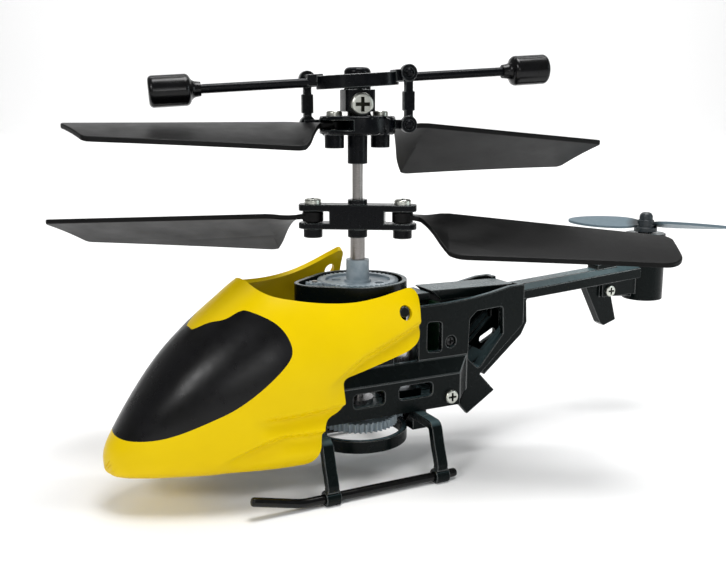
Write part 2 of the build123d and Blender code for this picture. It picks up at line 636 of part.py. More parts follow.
def canopy_skin():
    nose = CANOPY_STATIONS[-1][0]
    hollow = block((-10, nose - 0.8), (-20, 20), (0, 40))
    whole = canopy_body(0.0) - (canopy_body(CANOPY_WALL) & hollow)
    raised = canopy_body(0.0, EAR_LIFT) - (canopy_body(CANOPY_WALL, EAR_LIFT) & hollow)
    top_opening = [(17.4, 40), (17.4, 29.2), (16.8, 28.5), (15.4, 27.9), (13.3, 27.5), (10.3, 27.0), (6.8, 26.7),
                   (4.2, 26.7), (1.0, 27.0), (-2.2, 27.5), (-4.0, 27.7), (-24, 28.5), (-24, 40)]
    rear_opening = [(-24, 40), (-4.4, 40), (-4.4, 27.7), (-5.1, 26.8), (-4.9, 25.4), (-4.5, 23.3), (-4.7, 21.5),
                    (-4.1, 20.4), (-2.4, 19.4), (7.5, 16.7), (7.3, 13.1), (8.0, 12.4), (9.7, 11.8), (10.3, 10.9),
                    (10.7, 7.8), (11.4, 6.4), (12.4, 5.6), (24.0, 5.3), (24.0, -2), (-24, -2)]
    front = whole & block((EAR_ROOT_X, 40), (-20, 20), (0, 40))
    front -= side_slab(top_opening, -20, 20)
    front -= side_slab(rear_opening, -20, 20)
    port = whole & block((-10, EAR_ROOT_X), (0, 20), (0, 40))
    port -= side_slab(top_opening, -1, 20)
    port -= side_slab(rear_opening, -1, 20)
    port -= cross_rod(EAR_HOLE_R, 0, 20, PEG_X, PEG_Z)
    starboard = raised & block((-10, EAR_ROOT_X), (-20, 0), (0, 40))
    starboard -= side_slab(bent(top_opening), -20, 1)
    starboard -= side_slab(bent(rear_opening), -20, 1)
    starboard -= cross_rod(EAR_HOLE_R, -20, 0, *bent([(PEG_X, PEG_Z)])[0])
    return front + port + starboard


def window_prism():
    """Side view of the windscreen: notch on the crest, peak over the shoulder, round rear end."""
    outline = [(25.0, 23.6), (23.1, 24.7), (21.5, 25.1), (19.6, 26.3), (18.8, 26.4), (16.2, 25.2), (14.9, 23.6),
               (14.3, 21.6), (14.8, 20.3), (16.6, 18.5), (19.3, 16.3), (22.2, 14.4), (25.0, 13.2), (28.5, 11.7),
               (31.2, 10.8), (34.5, 10.4), (45, 10.6), (45, 45)]
    return side_slab(outline, -20, 20)


def landing_gear():
    """Ring round the lower gear with four sprung legs that end in sleeves for the skids."""
    shape = tube(6.5, 7.3, 4.0, 5.9)
    for x, inner in ((FRONT_LEG_X, 6.9), (REAR_LEG_X, -6.9)):
        outer = x + (LEG_WIDTH / 2 if x > 0 else -LEG_WIDTH / 2 - 1.2)
        shape += block(sorted((inner, outer)), (-4.4, 4.4), (5.2, FLOOR_Z[0]))
        path = FilletPolyline((x, 4.2, 7.9), (x, 10.2, 7.9), (x, 11.0, 5.2), (x, SKID_Y + 0.25, 2.4),
                              (x, SKID_Y, SKID_Z + 0.9), radius=0.9)
        start = Plane(origin=(x, 4.2, 7.9), x_dir=(1, 0, 0), z_dir=(0, 1, 0))
        leg = sweep(start * Rectangle(LEG_WIDTH, LEG_THICKNESS), path)
        sleeve = Pos(x, SKID_Y, SKID_Z) * Rot(0, 90, 0) * Cylinder(SLEEVE_R, 2.2)
        leg = leg + sleeve
        shape = shape + leg + mirrored(leg)
    for side in (-1, 1):
        shape -= skid_bar(side)
    shape -= block((-30, 30), (-20, 20), (-5, 0))
    return shape - rod(6.5, 0, 8.3) - rod(1.9, 6.0, 9.0, -MOTOR_X)


def skid_bar(side):
    y = side * SKID_Y
    path = FilletPolyline((-9.8, y, SKID_Z), (14.0, y, SKID_Z), (21.0, y, SKID_Z + 1.7), radius=8)
    start = Plane(origin=(-9.8, y, SKID_Z), z_dir=(1, 0, 0))
    return sweep(start * Circle(SKID_R), path)


def battery():
    pack = block((11.6, 26.4), (-4.2, 4.2), (9.65, 15.2))
    pack = fillet(pack.edges().filter_by(Axis.X), 1.2)
    return pack


def receiver_board():
    board = block((-15.0, -14.2), (-3.9, 3.9), (11.4, 22.6))
    for y, z in ((-2.2, 20.4), (-2.4, 17.6), (1.6, 16.4), (-0.4, 15.6), (0.4, 13.2)):
        board += block((-15.7, -15.0), (y - 0.8, y + 0.8), (z - 0.9, z + 0.9))
    return board


def infrared_receiver():
    """Dark epoxy receiver with a round lens, soldered on the rear face of the board."""
    return block((-16.7, -15.0), (1.0, 3.6), (18.6, 21.8)) + Pos(-16.7, 2.3, 20.4) * Sphere(0.95)


def motor_can(x, z_range):
    low, high = z_range
    can = rod(MOTOR_R - 0.02, low, high, x)
    return can - rod(MOTOR_SHAFT_R + RUNNING_FIT, low - 1, high + 1, x)


def front_motor():
    return motor_can(MOTOR_X, FRONT_MOTOR_Z)


def rear_motor():
    return motor_can(-MOTOR_X, REAR_MOTOR_Z)


def charging_socket():
    body = block((-18.9, -15.0), (-1.6, 1.6), (8.4, 10.8))
    return body - rod(0.7, 7, 10, -17.0)


def power_switch():
    """Slide switch in the starboard wall of the socket housing."""
    body = block((-18.9, -15.0), (-4.2, -1.8), (8.4, 10.8))
    return body - block((-18.2, -15.7), (-4.0, -2.0), (7, 9.4))


def switch_slider():
    return block((-18.1, -17.1), (-3.5, -2.5), (7.6, 9.3))


def bearing(bore, radius, flange, z_range, flange_z):
    return tube(bore, radius, *z_range) + tube(bore, flange, *flange_z)


def side_screws(x, z, radius, seat):
    """A self-tapping screw in each side frame, port and starboard."""
    screw = Pos(x, seat, z) * Rot(-90, 0, 0) * cross_screw(radius, 0.6, 0.45, 0.9, 0.32)
    return [screw, mirrored(screw)]


def tail_screw():
    x, z = TAIL_SCREW
    return Pos(x, 1.5, z) * Rot(-90, 0, 0) * cross_screw(0.95, 0.5, 0.33, 2.6, 0.3)


def deck_screws():
    screw = cross_screw(0.75, 0.45, 0.38, 0.9, 0.28)
    return [Pos(DECK_SCREW_X, y, DECK_Z[1]) * screw for y in (-DECK_SCREW_Y, DECK_SCREW_Y)]


def tail_motor_wires():
    """The two leads that run inside the boom channel to the tail motor."""
    start, end = (-24.6, 22.75), (-42.4, 23.9)
    run = hypot(end[0] - start[0], end[1] - start[1])
    rise = degrees(atan2(end[1] - start[1], start[0] - end[0]))
    lead = Pos(start[0], 0, start[1]) * Rot(0, -90 + rise, 0) * rod(0.28, 0, run)
    return [Pos(0, y, 0) * lead for y in (-0.45, 0.45)]


# ---------------------------------------------------------------------------------------------
# Assembly
# ---------------------------------------------------------------------------------------------

def all_parts():
    skin = canopy_skin()
    window = window_prism()
    return {
        "frame_port": frame_port(),
        "frame_starboard": frame_starboard(),
        "top_deck": top_deck(),
        "tail_boom": tail_boom(),
        "tail_motor_holder": tail_motor_holder(),
        "tail_motor": tail_motor(),
        "tail_motor_wires": tail_motor_wires(),
        "canopy": skin - window,
        "windscreen": skin & window,
        "landing_gear": landing_gear(),
        "skid_port": skid_bar(1),
        "skid_starboard": skid_bar(-1),
        "battery": battery(),
        "receiver_board": receiver_board(),
        "infrared_receiver": infrared_receiver(),
        "front_motor": front_motor(),
        "rear_motor": rear_motor(),
        "charging_socket": charging_socket(),
        "power_switch": power_switch(),
        "switch_slider": switch_slider(),
        "top_bearing": bearing(TUBE_R + RUNNING_FIT, 2.0, 2.4, (23.5, 25.5), (25.3, 25.7)),
        "bottom_bearing": bearing(INNER_SHAFT_R + RUNNING_FIT, 1.75, 2.3, (8.4, 10.2), (9.6, 10.2)),
        "frame_screws": side_screws(-12.3, 10.2, 1.05, LOWER_WALL_Y),
        "recessed_screws": side_screws(-12.9, 18.2, 0.75, 4.2),
        "deck_screws": deck_screws(),
        "tail_screw": tail_screw(),
        "outer_shaft": tube(TUBE_BORE_R, TUBE_R, TUBE_BOTTOM, TUBE_TOP),
        "outer_shaft_collar": tube(TUBE_R, 1.8, 22.5, 23.2),
        "upper_main_gear": upper_main_gear(),
        "lower_blade_hub": lower_blade_hub(),
        "lower_blade_screws": lower_blade_screws(),
        "lower_blade_a": lower_blade(LOWER_AZIMUTH, 45.8, (30.5, 27.5), (0.1, -1.0), 3.2, 2.6),
        "lower_blade_b": lower_blade(LOWER_AZIMUTH + 180, 44.0, (22.0, 15.5), (0.0, -2.9), 0.0, 4.2),
        "inner_shaft": rod(INNER_SHAFT_R, INNER_SHAFT_BOTTOM, INNER_SHAFT_TOP),
        "lower_main_gear": lower_main_gear(),
        "rotor_head": rotor_head(),
        "head_screw": head_screw(),
        "blade_see_saw": blade_see_saw(),
        "upper_blade_screws": upper_blade_screws(),
        "upper_blade_a": upper_blade(UPPER_AZIMUTH, 39.5, (15.5, 11.5), (0.0, 0.1)),
        "upper_blade_b": upper_blade(UPPER_AZIMUTH + 180, 39.2, (34.5, 28.0), (-0.2, -2.9)),
        "flybar": flybar(),
        "flybar_weights": flybar_weights(),
        "link_a": link(0, FLYBAR_TILT),
        "link_b": link(180, -FLYBAR_TILT),
        "front_pinion": pinion(MOTOR_X, (26.3, 28.0), 180.0 + 180.0 / PINION_TEETH),
        "front_motor_shaft": rod(MOTOR_SHAFT_R, 22.6, 28.2, MOTOR_X),
        "rear_pinion": pinion(-MOTOR_X, (6.3, 8.0), 180.0 / PINION_TEETH),
        "rear_motor_shaft": rod(MOTOR_SHAFT_R, 6.1, 12.0, -MOTOR_X),
        "tail_motor_shaft": tail_motor_shaft(),
        "tail_rotor": tail_rotor(),
    }


def place(shape):
    """One sub-part, or a group of separate solids, moved to its place along X."""
    solids = []
    for piece in shape if isinstance(shape, list) else [shape]:
        solids += (Pos(SHAFT_X, 0, 0) * piece).solids()
    return solids[0] if len(solids) == 1 else Compound(children=solids)


def main():
    os.makedirs("parts", exist_ok=True)
    for name, shape in all_parts().items():
        export_step(place(shape), f"parts/{name}.step")


if __name__ == "__main__":
    main()
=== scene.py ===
"""Looks of the palm-size coaxial helicopter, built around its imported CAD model."""
import json
from math import cos, pi, radians, sin

import bmesh
import bpy
import numpy as np
from mathutils import Matrix, Vector
from mathutils.bvhtree import BVHTree
from mathutils.geometry import delaunay_2d_cdt

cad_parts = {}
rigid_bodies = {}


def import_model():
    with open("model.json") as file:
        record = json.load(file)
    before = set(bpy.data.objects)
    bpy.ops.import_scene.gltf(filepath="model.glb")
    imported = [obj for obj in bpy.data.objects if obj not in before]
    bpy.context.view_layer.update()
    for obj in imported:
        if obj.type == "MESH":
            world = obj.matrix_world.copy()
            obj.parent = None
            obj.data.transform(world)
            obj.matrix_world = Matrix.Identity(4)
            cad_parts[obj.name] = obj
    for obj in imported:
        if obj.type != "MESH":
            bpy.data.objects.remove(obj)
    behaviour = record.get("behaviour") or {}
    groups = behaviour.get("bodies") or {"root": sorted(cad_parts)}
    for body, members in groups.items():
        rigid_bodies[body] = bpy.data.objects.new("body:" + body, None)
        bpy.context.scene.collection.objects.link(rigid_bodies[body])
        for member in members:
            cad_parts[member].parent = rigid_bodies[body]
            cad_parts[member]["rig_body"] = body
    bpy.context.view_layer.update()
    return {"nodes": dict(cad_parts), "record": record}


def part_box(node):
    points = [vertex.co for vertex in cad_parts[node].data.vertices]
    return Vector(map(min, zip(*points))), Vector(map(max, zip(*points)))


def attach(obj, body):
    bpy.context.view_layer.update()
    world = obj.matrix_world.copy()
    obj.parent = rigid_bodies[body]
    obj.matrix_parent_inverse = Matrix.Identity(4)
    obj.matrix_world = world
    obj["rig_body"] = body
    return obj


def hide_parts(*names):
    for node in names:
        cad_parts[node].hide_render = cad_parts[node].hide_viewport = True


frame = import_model()

MM = 0.001
SCENE = bpy.context.scene
NODE = frame["nodes"]


def axis_x(node):
    """Where an upright round part's axis crosses the x axis, in millimetres."""
    low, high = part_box(node)
    return (low.x + high.x) / 2 / MM


SHAFT_X = axis_x("inner_shaft")
TAIL_HUB_X = axis_x("tail_motor_shaft")


def place(x, y, z):
    """A point given in millimetres from the foot of the rotor shaft, in the shared frame."""
    return Vector(((x + SHAFT_X) * MM, y * MM, z * MM))


def new_piece(name, bm, materials):
    """An object made of a bmesh, which is used up, with these materials."""
    mesh = bpy.data.meshes.new(name)
    bm.to_mesh(mesh)
    bm.free()
    for material in materials:
        mesh.materials.append(material)
    piece = bpy.data.objects.new(name, mesh)
    SCENE.collection.objects.link(piece)
    return piece


# ---------------------------------------------------------------------------------------------
# Camera and light
# ---------------------------------------------------------------------------------------------

LOOK = Vector((-0.4378, -0.8781, -0.1930)).normalized()    # the camera looks this way
RIGHT = LOOK.cross(Vector((0.0, 0.0, 1.0))).normalized()
AWAY = Vector((LOOK.x, LOOK.y, 0.0)).normalized()
CAMERA_AT = (56.2, 114.45, 52.5)
LENS = 44.63
SENSOR_WIDTH = 36.0

MIDDLE_Z = 30              # half the height of the object, which the lights aim at
WORLD_STRENGTH = 0.22
WHITE = (1.0, 1.0, 1.0)
COOL = (0.86, 0.98, 1.0)
# One row per light: its name, its place from the middle of the object, its size, power and colour.
LIGHTS = (
    ("overhead", (-0.05, 0.05, 0.50), (0.24, 0.24), 2.3, WHITE),
    ("key", (0.40, 0.22, 0.26), (0.12, 0.12), 0.8, WHITE),
    ("side", (-0.34, 0.30, 0.10), (0.06, 0.24), 0.35, COOL),
    ("front", (0.12, 0.42, 0.10), (0.16, 0.08), 0.2, WHITE),
)
# The wash lights the backdrop alone: how far behind the object it hangs and aims, and how high.
WASH_FROM = (0.55, 1.1)
WASH_TO = (1.6, 0.3)
WASH_SIZE = (1.6, 0.4)
WASH_POWER = 26.0


def make_camera():
    data = bpy.data.cameras.new("view")
    data.sensor_width = SENSOR_WIDTH
    data.lens = LENS
    data.clip_start = 0.01
    data.dof.use_dof = False
    camera = bpy.data.objects.new("view", data)
    SCENE.collection.objects.link(camera)
    turn = Matrix((RIGHT, RIGHT.cross(LOOK), -LOOK)).transposed()
    camera.matrix_world = Matrix.Translation(place(*CAMERA_AT)) @ turn.to_4x4()
    SCENE.camera = camera


def area_light(name, position, target, size, power, colour):
    data = bpy.data.lights.new(name, "AREA")
    data.shape = "RECTANGLE"
    data.size, data.size_y = size
    data.energy = power
    data.color = colour
    light = bpy.data.objects.new(name, data)
    SCENE.collection.objects.link(light)
    light.rotation_euler = (target - position).to_track_quat("-Z", "Y").to_euler()
    light.location = position


def behind(distance, height):
    """A point behind the object as the camera sees it, in metres."""
    return AWAY * distance + Vector((0.0, 0.0, height))


def make_studio():
    world = bpy.data.worlds.new("studio")
    world.use_nodes = True
    background = world.node_tree.nodes["Background"]
    background.inputs["Color"].default_value = (*WHITE, 1.0)
    background.inputs["Strength"].default_value = WORLD_STRENGTH
    SCENE.world = world
    SCENE.view_settings.view_transform = "Standard"
    middle = place(0, 0, MIDDLE_Z)
    for name, offset, size, power, colour in LIGHTS:
        area_light(name, middle + Vector(offset), middle, size, power, colour)
    area_light("wash", behind(*WASH_FROM), behind(*WASH_TO), WASH_SIZE, WASH_POWER, WHITE)


# ---------------------------------------------------------------------------------------------
# Materials
# ---------------------------------------------------------------------------------------------

NOISE_SPAN = (0.3, 0.7)    # where most of a noise's values lie
PAINTED_SHEEN_SPAN = (0.55, 0.9)    # upward share of the normal over which the painted top sheen comes in


class Shader:
    """A principled shader with noise in its colour, roughness and bump.

    The scale of a noise is in cells per millimetre.
    """

    def __init__(self, name, roughness, metallic=0.0, specular=0.5):
        self.name = name
        self.material = bpy.data.materials.new(name)
        self.material.use_nodes = True
        self.nodes = self.material.node_tree.nodes
        self.links = self.material.node_tree.links
        self.surface = self.nodes["Principled BSDF"]
        self.surface.inputs["Roughness"].default_value = roughness
        self.surface.inputs["Metallic"].default_value = metallic
        self.surface.inputs["Specular IOR Level"].default_value = specular
        self.coordinates = self.nodes.new("ShaderNodeTexCoord").outputs
        self.normal = None

    def mapped(self, scale, location=(0.0, 0.0, 0.0)):
        """The object's coordinates, moved and scaled."""
        mapping = self.nodes.new("ShaderNodeMapping")
        mapping.inputs["Location"].default_value = location
        mapping.inputs["Scale"].default_value = scale
        self.links.new(self.coordinates["Object"], mapping.inputs["Vector"])
        return mapping.outputs["Vector"]

    def noise(self, scale, detail=3.0, stretch=(1.0, 1.0, 1.0)):
        """Noise output with a cell size of 1/scale mm, stretched along an axis by its factor."""
        noise = self.nodes.new("ShaderNodeTexNoise")
        noise.inputs["Scale"].default_value = 1.0
        noise.inputs["Detail"].default_value = detail
        self.links.new(self.mapped([scale / MM / s for s in stretch]), noise.inputs["Vector"])
        return noise.outputs["Fac"]

    def from_axis(self, x):
        """Distance in millimetres from the upright line through (x, 0)."""
        length = self.nodes.new("ShaderNodeVectorMath")
        length.operation = "LENGTH"
        self.links.new(self.mapped((1 / MM, 1 / MM, 0.0), (-x, 0.0, 0.0)), length.inputs[0])
        return length.outputs["Value"]

    def spread(self, source, low, high, span=NOISE_SPAN):
        """The source's values over its span, spread evenly from low to high."""
        scale = self.nodes.new("ShaderNodeMapRange")
        scale.inputs["From Min"].default_value = span[0]
        scale.inputs["From Max"].default_value = span[1]
        scale.inputs["To Min"].default_value = low
        scale.inputs["To Max"].default_value = high
        self.links.new(source, scale.inputs["Value"])
        return scale.outputs["Result"]

    def blend(self, source, span, first, second):
        """Base colour that goes from first to second while the source goes over its span."""
        ramp = self.nodes.new("ShaderNodeValToRGB")
        for element, position, colour in zip(ramp.color_ramp.elements, span, (first, second)):
            element.position = position
            element.color = (*colour, 1.0)
        self.links.new(source, ramp.inputs["Fac"])
        self.links.new(ramp.outputs["Color"], self.surface.inputs["Base Color"])

    def colour(self, first, second, scale, stretch=(1.0, 1.0, 1.0)):
        """Base colour that wanders between first and second."""
        self.blend(self.noise(scale, stretch=stretch), NOISE_SPAN, first, second)

    def painted_top_sheen(self, sides, top):
        """One colour on walls and another on the faces that look up, as a painted sheen of light from
        above.
        """
        split = self.nodes.new("ShaderNodeSeparateXYZ")
        self.links.new(self.coordinates["Normal"], split.inputs["Vector"])
        self.blend(split.outputs["Z"], PAINTED_SHEEN_SPAN, sides, top)

    def sheen_patches(self, low, high, scale, stretch=(1.0, 1.0, 1.0)):
        """Roughness that wanders between low and high."""
        source = self.spread(self.noise(scale, detail=4.0, stretch=stretch), low, high)
        self.links.new(source, self.surface.inputs["Roughness"])

    def bump(self, source, height):
        """Adds a relief of this height in millimetres on top of the earlier ones."""
        bump = self.nodes.new("ShaderNodeBump")
        bump.inputs["Distance"].default_value = height * MM
        bump.inputs["Strength"].default_value = 1.0
        self.links.new(source, bump.inputs["Height"])
        if self.normal:
            self.links.new(self.normal, bump.inputs["Normal"])
        self.normal = bump.outputs["Normal"]
        self.links.new(self.normal, self.surface.inputs["Normal"])


def moulded_plastics():
    canopy = Shader("canopy_yellow", 0.34, specular=0.1)
    canopy.colour((0.72, 0.50, 0.0), (0.76, 0.54, 0.0), 0.12)
    canopy.sheen_patches(0.30, 0.40, 0.6)
    canopy.bump(canopy.noise(0.3, 2.0), 0.02)
    canopy.bump(canopy.noise(6.0, 2.0), 0.002)

    window = Shader("window_black", 0.3, specular=0.22)
    window.colour((0.002, 0.002, 0.002), (0.004, 0.004, 0.005), 0.2)
    window.sheen_patches(0.26, 0.34, 0.7)
    window.bump(window.noise(0.25, 2.0), 0.04)

    frame_black = Shader("frame_black", 0.3, specular=0.1)
    # Painted sheen: the faces that look up are lighter and bluish, as under the overhead light.
    frame_black.painted_top_sheen((0.002, 0.004, 0.004), (0.075, 0.115, 0.125))
    frame_black.sheen_patches(0.22, 0.30, 0.5)
    frame_black.bump(frame_black.noise(5.0), 0.001)

    skid = Shader("skid_black", 0.2, specular=0.25)
    skid.colour((0.001, 0.001, 0.001), (0.003, 0.003, 0.003), 0.8)
    skid.sheen_patches(0.14, 0.26, 1.5)

    rotor = Shader("rotor_black", 0.3, specular=0.12)
    # Painted sheen: the faces that look up are a little lighter.
    rotor.painted_top_sheen((0.0015, 0.002, 0.003), (0.012, 0.014, 0.018))
    rotor.sheen_patches(0.22, 0.34, 1.2)
    rotor.bump(rotor.noise(6.0), 0.001)

    # The rounded edges of the frame's and the rotor head's mouldings: glossier, and painted lighter as a
    # highlight.
    edge = Shader("edge_highlight_black", 0.24, specular=0.7)
    edge.colour((0.010, 0.014, 0.014), (0.020, 0.026, 0.026), 0.5)
    edge.sheen_patches(0.18, 0.30, 0.8)

    blade = Shader("blade_black", 0.4, specular=0.12)
    blade.colour((0.002, 0.002, 0.002), (0.005, 0.005, 0.005), 0.15)
    blade.sheen_patches(0.34, 0.44, 0.3)
    blade.bump(blade.noise(5.0), 0.003)

    weight = Shader("weight_black", 0.22, specular=0.25)
    weight.colour((0.001, 0.001, 0.001), (0.003, 0.003, 0.004), 0.6)
    weight.sheen_patches(0.18, 0.28, 1.0)

    gear = Shader("gear_grey", 0.4)
    gear.colour((0.24, 0.30, 0.34), (0.36, 0.42, 0.46), 0.8)
    gear.sheen_patches(0.34, 0.50, 2.0)
    gear.bump(gear.noise(6.0), 0.006)

    # The tail rotor's hub is dark, and the colour changes over its root.
    tail = Shader("tail_blue", 0.42)
    off_hub = tail.spread(tail.from_axis(TAIL_HUB_X), 0.0, 1.0, span=(1.9, 3.4))
    tail.blend(off_hub, (0.0, 1.0), (0.010, 0.016, 0.020), (0.10, 0.15, 0.18))
    tail.sheen_patches(0.36, 0.50, 1.2)
    return [canopy, window, frame_black, skid, rotor, edge, blade, weight, gear, tail]


def metals():
    shaft = Shader("shaft_chrome", 0.3, metallic=1.0)
    shaft.colour((0.22, 0.21, 0.20), (0.30, 0.28, 0.27), 2.0, stretch=(1.0, 1.0, 0.1))
    shaft.sheen_patches(0.26, 0.34, 3.0, stretch=(1.0, 1.0, 0.1))

    screw = Shader("screw_steel", 0.3, metallic=1.0)
    screw.colour((0.50, 0.51, 0.46), (0.58, 0.59, 0.54), 0.4)
    screw.sheen_patches(0.28, 0.36, 0.8)

    # Painted shade inside the screws' cross recesses.
    recess_shade = Shader("recess_painted_shade", 0.6, metallic=1.0)
    recess_shade.colour((0.02, 0.02, 0.016), (0.04, 0.04, 0.03), 2.0)

    black_screw = Shader("screw_black", 0.35, metallic=1.0)
    black_screw.colour((0.03, 0.03, 0.03), (0.06, 0.06, 0.06), 2.0)
    black_screw.sheen_patches(0.3, 0.45, 3.0)

    motor = Shader("motor_steel", 0.3, metallic=1.0)
    motor.colour((0.50, 0.52, 0.54), (0.66, 0.68, 0.70), 1.2, stretch=(1.0, 1.0, 6.0))
    motor.sheen_patches(0.24, 0.38, 3.0, stretch=(1.0, 1.0, 8.0))

    bearing = Shader("bearing_steel", 0.3, metallic=1.0)
    bearing.colour((0.42, 0.42, 0.43), (0.56, 0.56, 0.57), 2.0)
    bearing.sheen_patches(0.24, 0.40, 3.0)

    foil = Shader("battery_wrap", 0.4, metallic=0.3)
    foil.colour((0.42, 0.44, 0.47), (0.56, 0.58, 0.61), 0.4)
    foil.bump(foil.noise(0.8), 0.1)
    return [shaft, screw, recess_shade, black_screw, motor, bearing, foil]


def electric_parts():
    board = Shader("board_green", 0.35)
    tracks = board.noise(1.6, 1.0)
    board.blend(tracks, (0.46, 0.5), (0.002, 0.025, 0.008), (0.006, 0.05, 0.016))
    board.bump(tracks, 0.04)

    lens = Shader("lens_dark", 0.15)
    lens.colour((0.012, 0.006, 0.010), (0.022, 0.012, 0.018), 1.0)

    socket = Shader("socket_black", 0.42)
    socket.colour((0.008, 0.008, 0.008), (0.020, 0.020, 0.020), 1.0)
    socket.bump(socket.noise(5.0), 0.01)

    switch = Shader("switch_white", 0.42)
    switch.colour((0.62, 0.62, 0.58), (0.74, 0.74, 0.70), 2.0)
    switch.bump(switch.noise(5.0), 0.01)

    wire = Shader("wire_red", 0.4)
    wire.colour((0.36, 0.01, 0.01), (0.50, 0.02, 0.02), 2.0)
    wire.bump(wire.noise(4.0), 0.01)
    return [board, lens, socket, switch, wire]


MATERIAL = {shader.name: shader.material for shader in moulded_plastics() + metals() + electric_parts()}


# ---------------------------------------------------------------------------------------------
# Floor: a pale sheet, in metres, that curves up behind the object
# ---------------------------------------------------------------------------------------------

FLOOR_HALF_WIDTH = 1.6
FLOOR_RUN = 1.5            # the flat stretch, before and behind the object
BEND_R = 0.5
BEND_STEPS = 12
BACKDROP_TOP = 2.0


def make_floor():
    profile = [(-FLOOR_RUN, 0.0)]
    for angle in np.linspace(0, pi / 2, BEND_STEPS + 1):
        profile.append((FLOOR_RUN + BEND_R * sin(angle), BEND_R - BEND_R * cos(angle)))
    profile.append((FLOOR_RUN + BEND_R, BACKDROP_TOP))
    bm = bmesh.new()
    rows = []
    for distance, height in profile:
        rows.append([bm.verts.new(behind(distance, height) + RIGHT * across)
                     for across in (-FLOOR_HALF_WIDTH, FLOOR_HALF_WIDTH)])
    for (a, b), (c, d) in zip(rows, rows[1:]):
        bm.faces.new((a, b, d, c)).smooth = True
    paper = Shader("paper", 0.75)
    paper.colour((0.90, 0.90, 0.90), (0.93, 0.93, 0.93), 6.0)
    new_piece("backdrop", bm, [paper.material])


# ---------------------------------------------------------------------------------------------
# Moulded parts: the CAD shape with its sharp edges rounded off
# ---------------------------------------------------------------------------------------------

MERGE_GAP = 0.002
FLAT_ANGLE = 0.6           # faces that meet at less than this, in degrees, are one flat face
CORNER_ANGLE = 24.5        # edges sharper than this are rounded
CORNER_SEGMENTS = 2
SCREW_CORNER_ANGLE = 32
RECESS_PROBE = 0.06
RECESS_REACH = 1.3

# The width of the rounding of each moulded node's edges, by material.
ROUNDED = {
    "frame_black": {"frame_port": 0.16, "frame_starboard": 0.16, "top_deck": 0.12, "tail_boom": 0.12,
                    "tail_motor_holder": 0.1, "landing_gear": 0.14},
    "rotor_black": {"lower_blade_hub": 0.12, "rotor_head": 0.1, "blade_see_saw": 0.1, "flybar": 0.1,
                    "link_a": 0.1, "link_b": 0.1},
    "blade_black": {"lower_blade_a": 0.18, "lower_blade_b": 0.18, "upper_blade_a": 0.18,
                    "upper_blade_b": 0.18},
    "tail_blue": {"tail_rotor": 0.1},
    "skid_black": {"skid_port": 0.34, "skid_starboard": 0.34},
}
HIGHLIT_EDGE_SLOTS = ("frame_black", "rotor_black")    # materials whose rounded edges are glossier and painted lighter as a highlight
SCREWS = ("head_screw", "frame_screws", "tail_screw", "lower_blade_screws", "upper_blade_screws")


def cleaned(node, corner_angle):
    """The mesh of a CAD node with whole flat faces, shaded smooth up to corner_angle."""
    bm = bmesh.new()
    bm.from_mesh(NODE[node].data)
    bmesh.ops.remove_doubles(bm, verts=bm.verts, dist=MERGE_GAP * MM)
    bmesh.ops.dissolve_limit(bm, angle_limit=radians(FLAT_ANGLE), verts=bm.verts, edges=bm.edges)
    for edge in bm.edges:
        edge.smooth = len(edge.link_faces) == 2 and edge.calc_face_angle(0.0) < radians(corner_angle)
    for face in bm.faces:
        face.smooth = True
    return bm


def take_over(piece, node):
    """Puts a piece in the place of a CAD node, on its body."""
    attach(piece, NODE[node]["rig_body"])
    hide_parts(node)


def rounded_copy(node, slot, width):
    """A copy of a CAD node with every sharp edge rounded by width millimetres."""
    bm = cleaned(node, CORNER_ANGLE)
    piece = new_piece(node + "_moulded", bm, [MATERIAL[slot]])
    bevel = piece.modifiers.new("rounding", "BEVEL")
    # Rounded edges of these materials get the glossier edge material with its painted highlight.
    if slot in HIGHLIT_EDGE_SLOTS:
        piece.data.materials.append(MATERIAL["edge_highlight_black"])
        bevel.material = 1
    bevel.width = width * MM
    bevel.segments = CORNER_SEGMENTS
    bevel.limit_method = "ANGLE"
    bevel.angle_limit = radians(CORNER_ANGLE)
    bevel.use_clamp_overlap = False
    bevel.harden_normals = True
    take_over(piece, node)


def sunken(face, tree):
    """Whether a face lies in a recess: walls of its own mesh stand close round a point just off it."""
    point = face.calc_center_median() + face.normal * RECESS_PROBE * MM
    along = face.calc_tangent_edge()
    walls = 0
    for direction in (along, -along, along.cross(face.normal), face.normal.cross(along)):
        if tree.ray_cast(point, direction, RECESS_REACH * MM)[0]:
            walls += 1
    return walls >= 2


def screw_copy(node):
    """A copy of a screw node, with painted shade on the faces of the cross recesses."""
    bm = cleaned(node, SCREW_CORNER_ANGLE)
    tree = BVHTree.FromBMesh(bm)
    for face in bm.faces:
        # Faces in a recess get the painted shade.
        face.material_index = 1 if sunken(face, tree) else 0
    piece = new_piece(node + "_turned", bm, [MATERIAL["screw_steel"], MATERIAL["recess_painted_shade"]])
    take_over(piece, node)


# ---------------------------------------------------------------------------------------------
# Canopy and windscreen: two panels cut from one curved shell
# ---------------------------------------------------------------------------------------------

# One row per station, nose last: x, crest z, keel z, height of the widest point, half width,
# squareness of the lower half.
STATIONS = np.array((
    (-6.0, 30.5, 4.4, 16.0, 11.6, 6.0),
    (0.0, 31.6, 4.4, 16.0, 11.7, 6.0),
    (6.0, 31.9, 4.4, 16.0, 11.7, 6.0),
    (12.0, 31.2, 4.4, 15.2, 11.4, 6.0),
    (16.5, 29.8, 4.4, 14.4, 11.0, 5.5),
    (20.5, 27.0, 4.4, 13.2, 10.3, 4.6),
    (25.0, 23.5, 4.3, 11.8, 9.1, 3.7),
    (29.0, 19.6, 4.3, 10.3, 7.6, 3.1),
    (33.0, 14.4, 4.4, 8.6, 5.4, 2.7),
    (35.6, 10.4, 4.7, 7.4, 3.4, 2.4),
    (36.3, 9.3, 4.95, 7.0, 2.5, 2.2),
    (36.8, 8.3, 5.35, 6.8, 1.5, 2.0),
    (37.0, 7.6, 5.8, 6.7, 0.8, 2.0),
))
